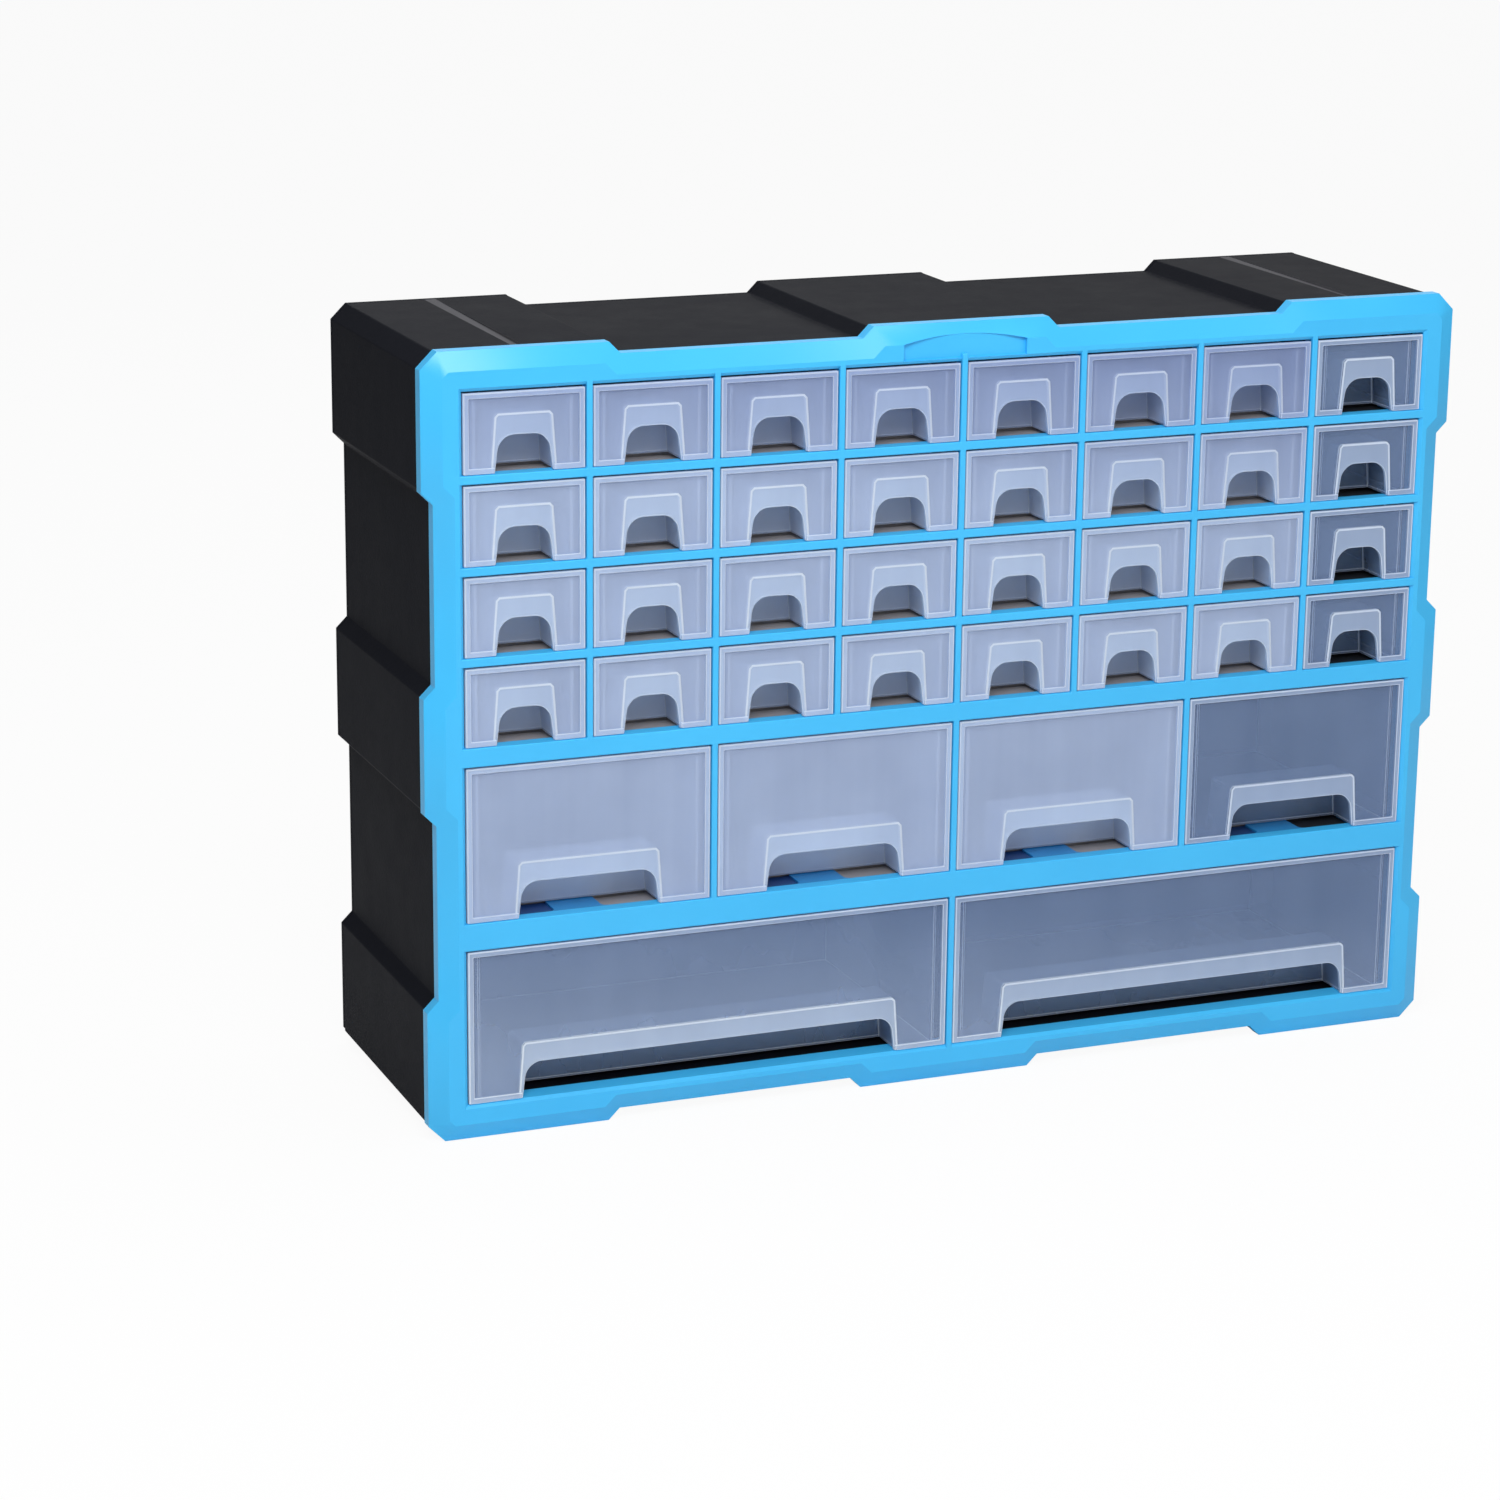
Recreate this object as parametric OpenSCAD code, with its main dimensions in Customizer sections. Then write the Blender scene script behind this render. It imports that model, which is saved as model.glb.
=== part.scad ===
// Parts bin cabinet: a moulded front frame with a drawer grid, a banded housing with shelves
// and a back, and translucent drawers in three widths that slide out towards -Y.
// The origin is on the surface it stands on, below the middle of the cabinet, with +Z up.

/* [Drawer cells] */
// Columns of small drawers
columns = 8; // [4:4:12]
// Rows of small drawers
small_rows = 4; // [2:1:5]
// Width of a small cell
cell_w = 58; // [50:0.5:80]
// Height of a small cell
small_cell_h = 37.6; // [36:0.2:60]
// Height of a medium cell
medium_cell_h = 74; // [50:0.5:110]
// Height of a large cell
large_cell_h = 74.5; // [50:0.5:110]

/* [Front frame] */
// Width of the upright bars between cells
bar_w = 2.9; // [2:0.1:6]
// Height of the thin cross bars between small rows
bar_h = 4; // [3.6:0.1:8]
// Height of the rail between the small and the medium row
rail_h = 8.8; // [6:0.1:16]
// Height of the rail between the medium and the large row
low_rail_h = 12.8; // [8:0.1:20]
// Depth of the bars and rails
bar_d = 7.5; // [6:0.5:10]
// Width of the outer frame between its raised bands
frame_w = 12.4; // [11:0.1:20]
// Depth of the outer frame
frame_d = 11.5; // [9:0.5:20]
// Width of the bevel round the front of the frame
bevel_w = 8.6; // [4:0.1:9]
// How far the bevel falls back
bevel_d = 5; // [3:0.5:8]
// Width and depth of the slope that leads into the drawer window
window_slope = 1.6; // [0.5:0.1:2]
// Depth of the collar that plugs into the housing
collar_d = 8; // [4:0.5:12]
// Wall of that collar
collar_t = 1.6; // [1:0.1:3]
// Thickness of the tongues behind the bars that the drawers slide over
tongue_t = 1.5; // [1:0.1:1.8]
// How far the tongues reach behind the front
tongue_d = 24; // [18:0.5:26]
// Reach of a tongue to the left of its column line
tongue_left = 12.5; // [8:0.5:14]
// Reach of a tongue to the right of its column line
tongue_right = 8.5; // [6:0.5:14]
// Reach of the wide tongues at the sides of a medium cell
wide_tongue = 24; // [16:0.5:26]
// Depth of the blind notch in the left half of a medium cell's floor
notch_d = 1; // [0.4:0.1:1.2]

/* [Raised bands] */
// How far the bands stand out
band_rise = 5.4; // [2:0.2:8]
// Length of a corner band along the top and the bottom
corner_band_w = 88; // [40:1:100]
// Length of a corner band up the side
corner_band_h = 63; // [30:1:80]
// Length of the middle band along the top and the bottom
middle_band_w = 88; // [40:1:120]
// Length of the middle band up the side
middle_band_h = 54; // [20:1:80]
// Cut across each outer corner
corner_cut = 8; // [6:0.5:14]
// Distance of the groove in a top corner band from the side
groove_inset = 49; // [30:1:60]
// Width of that groove
groove_w = 5.5; // [3:0.5:10]
// Depth of that groove at its front end
groove_d = 1.4; // [0.6:0.1:1.8]

/* [Bare panel at the top of the frame] */
// Width of the bare panel
panel_w = 62; // [40:1:74]
// Height of its ends
panel_h = 7.6; // [5:0.2:8]
// Extra height at its middle
panel_arch = 3.4; // [1:0.2:5]
// Depth that it is sunk behind the front
panel_sink = 2.2; // [1:0.1:3]

/* [Housing] */
// Overall depth of the cabinet, front frame included
cabinet_d = 150; // [120:1:200]
// Step between the frame's outline and the housing's
housing_step = 1.2; // [0:0.1:2]
// Wall of the housing
wall = 2.2; // [1.5:0.1:3]
// Thickness of the back
back_t = 2.4; // [1.5:0.1:4]
// Thickness of a shelf
shelf_t = 1.8; // [1.2:0.1:2]
// Width and height of the cleats that hold up the shelf ends
cleat = 3; // [2:0.5:5]
// Distance between the two keyholes in the back
keyhole_span = 400; // [150:5:440]
// Diameter of a keyhole's round entry
keyhole_entry = 9; // [7:0.5:12]
// Width of a keyhole's slot
keyhole_slot = 4.6; // [4:0.1:6]
// How far a keyhole's slot rises above the entry's centre
keyhole_rise = 11; // [8:0.5:16]
// Depth of the keyhole entries below the top of the cabinet, clear of the top shelf
keyhole_drop = 46; // [44:1:48]

/* [Drawers] */
// Gap round a drawer front in its cell
front_gap = 0.6; // [0.4:0.1:1.2]
// How far a drawer front sits behind the front of the bars
front_recess = 1.5; // [0.5:0.1:3]
// Thickness of a drawer front
front_t = 2; // [1.5:0.1:3]
// Clearance between the end of a drawer and the back
drawer_end_gap = 12.1; // [6:0.1:40]
// Wall of a drawer
drawer_wall = 1.3; // [1:0.1:2]
// Thickness of a drawer floor
drawer_floor = 1.3; // [1:0.1:2]
// How far a drawer's side stands in from the edge of its front
side_inset = 5; // [3:0.5:7]
// How far a drawer's side stays below the top of its front
side_drop = 3.2; // [2:0.2:6]
// Width of the raised rim round a drawer front
rim_w = 2.6; // [1.5:0.1:4]
// How far that rim stands out
rim_rise = 0.8; // [0.4:0.1:1]
// Height of the finger pocket
pocket_h = 26.6; // [20:0.2:30]
// Depth of the finger pocket behind the front
pocket_d = 19; // [12:0.5:22]
// Width of the finger pocket in a small drawer
small_pocket_w = 31; // [24:0.5:36]
// Width of the finger pocket in a medium drawer
medium_pocket_w = 72; // [40:1:90]
// Width of the finger pocket in a large drawer
large_pocket_w = 191; // [80:1:215]
// How much the finger pocket narrows towards its top, on each side
pocket_taper = 2; // [0:0.2:3]
// Height of the arch that opens the pocket to the front
arch_h = 16.8; // [12:0.2:19]
// Wall left between the arch and the side of the pocket
arch_margin = 2; // [1.5:0.1:4]
// Radius of the arch's upper corners
arch_r = 7; // [3:0.5:8]
// Radius of the pocket's upper corners
pocket_r = 3; // [1.5:0.5:5]

/* [Fits] */
// Gap between pieces that are put together and stay so
fit_gap = 0.3; // [0.2:0.05:0.4]
// Gap under a drawer that slides
slide_gap = 0.3; // [0.3:0.05:0.5]

/* [Hidden] */
medium_span = 2;
large_span = 4;
mediums = columns / medium_span;
larges = columns / large_span;
pitch = cell_w + bar_w;
window_w = columns * pitch - bar_w;
window_h = small_rows * small_cell_h + (small_rows - 1) * bar_h + rail_h + medium_cell_h
         + low_rail_h + large_cell_h;
rail_w = frame_w + band_rise;
cabinet_w = window_w + 2 * rail_w;
cabinet_h = window_h + 2 * rail_w;
front_y = -cabinet_d / 2;
back_y = cabinet_d / 2;

// Heights of the cell floors, and the height of the whole window's top
large_z = rail_w;
medium_z = large_z + large_cell_h + low_rail_h;
small_z = medium_z + medium_cell_h + rail_h;
window_top = small_z + small_rows * (small_cell_h + bar_h) - bar_h;
function row_z(row) = small_z + (small_rows - row) * (small_cell_h + bar_h);
function column_x(line) = (line - columns / 2) * pitch;
function span_w(span) = span * pitch - bar_w;

// A drawer front and the tub behind it
function front_w(span) = span_w(span) - 2 * front_gap;
function tub_w(span) = front_w(span) - 2 * side_inset;
drawer_y = front_y + front_recess;
drawer_l = cabinet_d - front_recess - drawer_end_gap - back_t;

// A shelf's front edge lies under the tongues, and behind them it rises level with the bars
inner_w = cabinet_w - 2 * (band_rise + housing_step + wall);
shelf_y = front_y + bar_d + fit_gap;
shelf_rise_y = front_y + tongue_d + fit_gap;
shelf_back = back_y - back_t;

// The outline of the whole cabinet from the front, set in by edge, or by foot along the bottom
function corner_leg(edge) = corner_cut - (2 - sqrt(2)) * edge;
function half_side(half_h, mid, corner, out, shift) = [
  [out, mid / 2 - shift], [out - band_rise, mid / 2 + band_rise - shift],
  [out - band_rise, half_h - corner - band_rise + shift], [out, half_h - corner + shift]
];
function flipped(points) = [for (i = [len(points) - 1 : -1 : 0]) [points[i][0], -points[i][1]]];
function outline(edge, foot = undef) =
  let (
    low = foot == undef ? edge : foot,
    shift = edge * tan(22.5),
    low_shift = low * tan(22.5),
    x = cabinet_w / 2 - edge,
    mid_z = cabinet_h / 2,
    side = half_side(mid_z, middle_band_h, corner_band_h, x, shift),
    top = half_side(cabinet_w / 2, middle_band_w, corner_band_w, cabinet_h - edge, shift),
    bottom = half_side(cabinet_w / 2, middle_band_w, corner_band_w, mid_z - low, low_shift),
    leg = corner_leg(edge),
    low_leg = corner_cut + sqrt(2) * edge - edge - low,
    right = concat(
      [[x - low_leg, low], [x, low + low_leg]],
      [for (p = flipped(side)) [p[0], mid_z + p[1]]],
      [for (p = side) [p[0], mid_z + p[1]]],
      [[x, cabinet_h - edge - leg], [x - leg, cabinet_h - edge]],
      [for (i = [3 : -1 : 0]) [top[i][1], top[i][0]]]),
    lower = [for (p = bottom) [p[1], mid_z - p[0]]])
  concat(
    lower, right,
    [for (i = [len(right) - 1 : -1 : 0]) [-right[i][0], right[i][1]]],
    [for (i = [len(lower) - 1 : -1 : 0]) [-lower[i][0], lower[i][1]]]);

// A closed ring with one loop of points per layer, each at its own depth. Both points of a
// corner cut share one point on the loops that are square.
module ring(loops, depths) {
  n = len(loops[0]);
  layers = len(loops);
  points = [for (i = [0 : layers - 1]) for (p = loops[i]) [p[0], depths[i], p[1]]];
  function at(i, k) = (i % layers) * n
    + (loops[i % layers][k % n] == loops[i % layers][(k + n - 1) % n] ? k % n - 1 : k % n);
  function face(a, b, c, d) = a == b ? [a, c, d] : c == d ? [a, b, c] : [a, b, c, d];
  faces = [for (i = [0 : layers - 1]) for (k = [0 : n - 1])
    if (at(i, k) != at(i, k + 1) || at(i + 1, k) != at(i + 1, k + 1))
      face(at(i, k), at(i, k + 1), at(i + 1, k + 1), at(i + 1, k))];
  polyhedron(points = points, faces = faces, convexity = 10);
}

// The outline's points moved straight in to a rectangle round the drawer window
function clamped(points, grow) = [for (p = points) [
  max(-window_w / 2 - grow, min(window_w / 2 + grow, p[0])),
  max(large_z - grow, min(window_top + grow, p[1]))]];

// An outline in the XZ plane, run back from y by depth
module run_back(y, depth) {
  translate([0, y + depth, 0]) rotate([90, 0, 0]) linear_extrude(depth) children();
}

module block(x0, x1, y0, y1, z0, z1) {
  translate([x0, y0, z0]) cube([x1 - x0, y1 - y0, z1 - z0]);
}

// The upper corner of an arch as points on an arc
function arc(centre, r, from, to, steps = 8) =
  [for (i = [0 : steps]) centre + r * [cos(from + (to - from) * i / steps),
                                       sin(from + (to - from) * i / steps)]];
function arch_points(low_w, top_w, height, r) = concat(
  [[-low_w / 2, 0], [low_w / 2, 0]],
  arc([top_w / 2 - r, height - r], r, 0, 90),
  arc([r - top_w / 2, height - r], r, 90, 180));

// The raised outer frame: bevelled outside, sloped into the window, with a collar behind
module frame_ring() {
  body = outline(0);
  crest = outline(bevel_w);
  difference() {
    ring([crest, body, body, clamped(body, 0), clamped(body, 0), clamped(body, window_slope)],
         [front_y, front_y + bevel_d, front_y + frame_d, front_y + frame_d,
          front_y + window_slope, front_y]);
    bare_panel();
  }
  run_back(front_y + frame_d, collar_d) difference() {
    polygon(outline(housing_step + wall + fit_gap, wall + fit_gap));
    polygon(outline(housing_step + wall + fit_gap + collar_t, wall + fit_gap + collar_t));
  }
}

// The flat sunk panel in the middle of the top rail, with an arched upper edge
module bare_panel() {
  panel_z = window_top + window_slope;
  rise_r = (pow(panel_w / 2, 2) + pow(panel_arch, 2)) / (2 * panel_arch);
  half_turn = asin(panel_w / 2 / rise_r);
  run_back(front_y - 1, panel_sink + 1) translate([0, panel_z]) polygon(concat(
    [[-panel_w / 2, 0], [panel_w / 2, 0]],
    arc([0, panel_h + panel_arch - rise_r], rise_r, 90 - half_turn, 90 + half_turn, 24)));
}

// One upright bar at a column line, through one row
module upright(line, z0, z1) {
  block(column_x(line) - bar_w / 2, column_x(line) + bar_w / 2, front_y, front_y + bar_d, z0, z1);
}

// One cross bar or rail over the whole window
module cross_bar(top, height) {
  block(-window_w / 2, window_w / 2, front_y, front_y + bar_d, top - height, top);
}

// A tongue at a column line, level with the bar's top, filleted at its root and rounded at its
// free corners
root_left = 3;
root_right = 6;
free_r = 2.5;
module tongue(line, top, left, right) {
  reach = tongue_d - bar_d;
  intersection() {
    translate([column_x(line), front_y + bar_d, top - tongue_t]) linear_extrude(tongue_t)
      polygon(concat(
        [[-left - root_left, -1]],
        arc([-left - root_left, root_left], root_left, -90, 0, 4),
        arc([free_r - left, reach - free_r], free_r, 180, 90, 4),
        arc([right - free_r, reach - free_r], free_r, 90, 0, 4),
        arc([right + root_right, root_right], root_right, 180, 270, 4),
        [[right + root_right, -1]]));
    block(-window_w / 2, window_w / 2, front_y, front_y + tongue_d, top - tongue_t, top);
  }
}

// The floor behind the low rail: wide tongues at the bars, a narrow one in the middle of each
// medium cell, and a thin web under the notch to its left
module medium_tongues() {
  for (line = [0 : medium_span : columns]) tongue(line, medium_z, wide_tongue, wide_tongue);
  for (line = [medium_span / 2 : medium_span : columns]) {
    x = column_x(line);
    tongue(line, medium_z, tongue_left + 2, tongue_right);
    block(x - medium_span / 2 * pitch + wide_tongue - free_r, x - tongue_left, front_y + bar_d - 1,
          front_y + tongue_d, medium_z - tongue_t, medium_z - notch_d);
  }
}

module front_frame() { color([0.16, 0.62, 0.9]) frame_ring(); }

// The frame's grid, cut into combs: each has the bar under one row and the uprights of that row
module small_grid(row) {
  color([0.16, 0.62, 0.9]) union() {
    cross_bar(row_z(row), row < small_rows ? bar_h : rail_h);
    for (line = [0 : columns]) tongue(line, row_z(row), tongue_left, tongue_right);
    for (line = [1 : columns - 1]) upright(line, row_z(row) - 1, row_z(row) + small_cell_h);
  }
}

// The lowest comb, with uprights above the low rail and below it
module low_grid() {
  color([0.16, 0.62, 0.9]) union() {
    cross_bar(medium_z, low_rail_h);
    medium_tongues();
    for (line = [medium_span : medium_span : columns - 1])
      upright(line, medium_z - 1, medium_z + medium_cell_h);
    for (line = [large_span : large_span : columns - 1])
      upright(line, large_z, medium_z - 1);
  }
}

// The housing's wall, from behind the frame to the back
housing_y = front_y + frame_d;
housing_l = shelf_back - housing_y;
side_x = cabinet_w / 2 - rail_w + fit_gap;
module housing_tube() {
  run_back(housing_y, housing_l) difference() {
    polygon(outline(housing_step, 0));
    polygon(outline(housing_step + wall, wall));
  }
}

// The shelves' heights: the floor of each row's cells
cell_floors = concat([for (row = [1 : small_rows]) row_z(row)], [medium_z, large_z]);

module side_wall(side) {
  color([0.1, 0.1, 0.11]) union() {
    intersection() {
      housing_tube();
      block(side > 0 ? side_x : -cabinet_w, side > 0 ? cabinet_w : -side_x,
            housing_y - 1, shelf_back + 1, -1, cabinet_h + 1);
    }
    for (cell_floor = cell_floors) side_cleat(side, cell_floor);
  }
}

// A ledge along the inside of a side wall, stepped like the shelf end that lies on it
module side_cleat(side, cell_floor) {
  x = inner_w / 2 - cleat;
  out_x = inner_w / 2 + band_rise + wall / 2;
  low = cell_floor - tongue_t - shelf_t;
  mirror([side > 0 ? 0 : 1, 0, 0])
    intersection() {
      union() {
        block(x, out_x, housing_y + collar_d + fit_gap, shelf_back, low - cleat, low);
        block(x, out_x, shelf_rise_y + shelf_t + fit_gap, shelf_back, low - cleat,
              cell_floor - shelf_t);
      }
      run_back(housing_y, housing_l) polygon(outline(housing_step + wall / 2));
    }
}

module housing_left() { side_wall(-1); }
module housing_right() { side_wall(1); }

// Wedge groove in a top corner band: full depth at the front, none at the back
module groove(side) {
  x = side * (cabinet_w / 2 - groove_inset);
  top = cabinet_h - housing_step;
  mirror([side > 0 ? 0 : 1, 0, 0]) translate([abs(x) - groove_w / 2, 0, 0])
    rotate([90, 0, 90]) linear_extrude(groove_w)
      polygon([[housing_y - 1, top - groove_d], [shelf_back, top], [shelf_back, top + 1],
               [housing_y - 1, top + 1]]);
}

module housing_top() {
  color([0.1, 0.1, 0.11]) difference() {
    intersection() {
      housing_tube();
      block(-side_x, side_x, housing_y - 1, shelf_back + 1, cabinet_h / 2, cabinet_h + 1);
    }
    for (side = [-1, 1]) groove(side);
  }
}

module housing_bottom() {
  color([0.1, 0.1, 0.11]) intersection() {
    housing_tube();
    block(-side_x, side_x, housing_y - 1, shelf_back + 1, -1, cabinet_h / 2);
  }
}

// One keyhole: a round entry and a narrow slot that rises from it
module keyhole(x) {
  z = cabinet_h - keyhole_drop;
  translate([x, back_y + 1, z]) rotate([90, 0, 0]) {
    cylinder(d = keyhole_entry, h = back_t + 2, $fn = 48);
    translate([-keyhole_slot / 2, 0, 0]) cube([keyhole_slot, keyhole_rise, back_t + 2]);
    translate([0, keyhole_rise, 0]) cylinder(d = keyhole_slot, h = back_t + 2, $fn = 48);
  }
}

module back_panel() {
  color([0.1, 0.1, 0.11]) difference() {
    run_back(shelf_back, back_t) polygon(outline(housing_step, 0));
    for (side = [-1, 1]) keyhole(side * keyhole_span / 2);
  }
}

// A shelf seen from above: wide behind the frame's collar, narrower in front of it
module shelf_plan(start) {
  narrow = window_w / 2 - fit_gap;
  wide = inner_w / 2 - fit_gap;
  wide_y = housing_y + collar_d + fit_gap;
  translate([-narrow, start]) square([2 * narrow, shelf_back - start]);
  translate([-wide, wide_y]) square([2 * wide, shelf_back - wide_y]);
}

// A shelf: its front edge low, a riser, and the rest level with the bars
module shelf(cell_floor, start) {
  low = cell_floor - tongue_t - shelf_t;
  intersection() {
    translate([0, 0, low]) linear_extrude(tongue_t + shelf_t) shelf_plan(start);
    union() {
      block(-cabinet_w, cabinet_w, start - 1, shelf_rise_y + shelf_t, low, low + shelf_t);
      block(-cabinet_w, cabinet_w, shelf_rise_y, shelf_rise_y + shelf_t, low, cell_floor);
      block(-cabinet_w, cabinet_w, shelf_rise_y, back_y, cell_floor - shelf_t, cell_floor);
    }
  }
}

module small_shelf(row) { color([0.42, 0.41, 0.42]) shelf(row_z(row), shelf_y); }
module medium_shelf() { color([0.42, 0.41, 0.42]) shelf(medium_z, shelf_y); }

// The lowest shelf starts behind the frame's bottom rail
module base_shelf() { color([0.1, 0.1, 0.11]) shelf(large_z, housing_y + fit_gap); }

// A drawer: a front with a raised rim and an arch, a tub behind it, and a finger pocket that is
// open to the front through the arch and open below
module drawer(span, x, z, cell_h, pocket_w) {
  w = front_w(span);
  h = cell_h - 2 * front_gap;
  tub = tub_w(span);
  tub_h = h - side_drop;
  hood = arch_points(pocket_w, pocket_w - 2 * pocket_taper, pocket_h, pocket_r);
  hood_in = arch_points(pocket_w - 2 * drawer_wall, pocket_w - 2 * pocket_taper - 2 * drawer_wall,
                        pocket_h - drawer_wall, pocket_r - drawer_wall / 2);
  arch_w = pocket_w - 2 * arch_margin;
  color([0.72, 0.78, 0.86, 0.8]) translate([x, drawer_y, z + slide_gap]) difference() {
    union() {
      block(-w / 2, w / 2, 0, front_t, 0, h);
      difference() {
        block(-w / 2, w / 2, -rim_rise, front_t / 2, 0, h);
        block(rim_w - w / 2, w / 2 - rim_w, -rim_rise - 1, 0, rim_w, h - rim_w);
      }
      difference() {
        block(-tub / 2, tub / 2, front_t / 2, drawer_l, 0, tub_h);
        block(drawer_wall - tub / 2, tub / 2 - drawer_wall, front_t, drawer_l - drawer_wall,
              drawer_floor, tub_h + 1);
      }
      run_back(front_t / 2, pocket_d + front_t / 2) polygon(hood);
    }
    run_back(front_t, pocket_d - drawer_wall) translate([0, -0.5]) polygon(hood_in);
    run_back(-rim_rise - 1, front_t + rim_rise + 1.5) translate([0, -0.5])
      polygon(arch_points(arch_w, arch_w - 2 * pocket_taper, arch_h + 0.5, arch_r));
  }
}

module small_drawer(row, column) {
  drawer(1, column_x(column - 0.5), row_z(row), small_cell_h, small_pocket_w);
}
module medium_drawer(index) {
  drawer(medium_span, column_x((index - 0.5) * medium_span), medium_z, medium_cell_h,
         medium_pocket_w);
}
module large_drawer(index) {
  drawer(large_span, column_x((index - 0.5) * large_span), large_z, large_cell_h,
         large_pocket_w);
}

function small_name(row, column) = str("small_drawer_r", row, "_c", column);
function grid_name(row) = str("frame_grid_", row);
function shelf_name(row) = str("small_shelf_", row);
front_frame();
for (row = [1 : small_rows]) small_grid(row);
low_grid();
housing_left();
housing_right();
housing_top();
housing_bottom();
back_panel();
for (row = [1 : small_rows])
  small_shelf(row);
medium_shelf();
base_shelf();
for (row = [1 : small_rows]) for (column = [1 : columns])
  small_drawer(row, column);
for (i = [1 : mediums])
  medium_drawer(i);
for (i = [1 : larges])
  large_drawer(i);
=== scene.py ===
# Parts bin cabinet: a black banded housing, a blue front frame, and frosted drawers of three
# widths.
from math import asin, radians

import bmesh
import bpy
from mathutils import Matrix, Vector


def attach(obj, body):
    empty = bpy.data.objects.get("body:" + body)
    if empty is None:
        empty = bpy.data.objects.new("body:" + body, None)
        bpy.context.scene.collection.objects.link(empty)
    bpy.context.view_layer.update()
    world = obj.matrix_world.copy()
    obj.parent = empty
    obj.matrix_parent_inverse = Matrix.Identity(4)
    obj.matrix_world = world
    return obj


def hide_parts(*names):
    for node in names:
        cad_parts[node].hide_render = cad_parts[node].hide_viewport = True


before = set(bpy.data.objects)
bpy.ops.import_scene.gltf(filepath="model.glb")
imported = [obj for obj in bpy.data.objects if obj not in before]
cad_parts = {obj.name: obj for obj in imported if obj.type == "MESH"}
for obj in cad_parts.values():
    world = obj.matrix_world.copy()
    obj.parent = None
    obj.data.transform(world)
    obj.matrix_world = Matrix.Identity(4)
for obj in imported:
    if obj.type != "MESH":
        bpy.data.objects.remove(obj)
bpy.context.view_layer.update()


# Viewpoint. The camera stands left of the cabinet and a little above it, as in the photograph:
# 21.8 degrees round from the front, 15.7 degrees up, with a long lens.
camera_place = (-0.7749, -1.7529, 0.6811)
camera_turn = -21.773
camera_pitch = 90 - 15.651
camera_roll = 0.578
camera_data = bpy.data.cameras.new("camera")
camera_data.lens = 97.6
camera_data.sensor_width = 36
camera_data.clip_start = 0.05
camera_data.clip_end = 200
camera = bpy.data.objects.new("camera", camera_data)
camera.matrix_world = (
    Matrix.Translation(camera_place)
    @ Matrix.Rotation(radians(camera_turn), 4, "Z")
    @ Matrix.Rotation(radians(camera_pitch), 4, "X")
    @ Matrix.Rotation(radians(camera_roll), 4, "Z")
)
bpy.context.scene.collection.objects.link(camera)
bpy.context.scene.camera = camera
bpy.context.scene.view_settings.view_transform = "Standard"


# Floor and white room. The floor is a plain pale sheet that keeps a soft shadow. The camera sees
# the room behind it as white, and so does light that has passed through something clear.
class Wire:
    """A value inside a material, so that a finish is written as arithmetic on its parts."""

    def __init__(self, tree, socket=None):
        self.tree = tree
        self.socket = socket

    def node(self, kind, settings=None, inputs=None, output=0):
        made = self.tree.nodes.new("ShaderNode" + kind)
        for name, value in (settings or {}).items():
            setattr(made, name, value)
        self.feed(made, inputs or {})
        return Wire(self.tree, made.outputs[output])

    def feed(self, made, inputs):
        for name, value in inputs.items():
            if isinstance(value, Wire):
                self.tree.links.new(value.socket, made.inputs[name])
            else:
                made.inputs[name].default_value = value

    def math(self, operation, first, second):
        return self.node("Math", {"operation": operation}, {0: first, 1: second})

    def mixed(self, factor, first, second):
        return self.node(
            "Mix", {"data_type": "RGBA"}, {0: factor, 6: first, 7: second}, 2
        )

    def __add__(self, other):
        return self.math("ADD", self, other)

    def __sub__(self, other):
        return self.math("SUBTRACT", self, other)

    def __rsub__(self, other):
        return self.math("SUBTRACT", other, self)

    def __mul__(self, other):
        return self.math("MULTIPLY", self, other)

    __radd__ = __add__
    __rmul__ = __mul__


floor_size = 30
floor_mesh = bmesh.new()
bmesh.ops.create_grid(floor_mesh, x_segments=2, y_segments=2, size=floor_size)
floor_data = bpy.data.meshes.new("floor")
floor_mesh.to_mesh(floor_data)
floor_mesh.free()
floor = bpy.data.objects.new("floor", floor_data)
bpy.context.scene.collection.objects.link(floor)

seen_white = 0.94
pale = bpy.data.materials.new("pale_floor")
pale.use_nodes = True
paper = Wire(pale.node_tree)
paper.feed(pale.node_tree.nodes["Principled BSDF"], {
    "Base Color": (0.86, 0.86, 0.86, 1), "Roughness": 0.9,
})
seen = paper.node("LightPath", output="Is Camera Ray")
glow = paper.node("Emission", {}, {"Color": (1, 1, 1, 1), "Strength": 1})
matt = Wire(pale.node_tree, pale.node_tree.nodes["Principled BSDF"].outputs[0])
whiter = paper.node("MixShader", {}, {0: seen * seen_white, 1: matt, 2: glow})
paper.feed(pale.node_tree.nodes["Material Output"], {"Surface": whiter})
floor_data.materials.append(pale)

room_light = 0.25
room = bpy.data.worlds.new("room")
room.use_nodes = True
bpy.context.scene.world = room
air = Wire(room.node_tree)
direct = air.math(
    "MAXIMUM", air.node("LightPath", output="Is Camera Ray"),
    air.node("LightPath", output="Is Transmission Ray"),
)
air.feed(room.node_tree.nodes["Background"], {
    "Color": (1, 1, 1, 1), "Strength": room_light + direct * (1 - room_light),
})


def lamp(name, place, target, width, height, power):
    """A soft rectangular light, turned to its target and not seen by the camera itself."""
    light = bpy.data.lights.new(name, "AREA")
    light.shape = "RECTANGLE"
    light.size = width
    light.size_y = height
    light.energy = power
    holder = bpy.data.objects.new(name, light)
    holder.visible_camera = False
    away = Vector(place) - Vector(target)
    turned = away.to_track_quat("Z", "Y").to_matrix().to_4x4()
    holder.matrix_world = Matrix.Translation(place) @ turned
    bpy.context.scene.collection.objects.link(holder)


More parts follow.
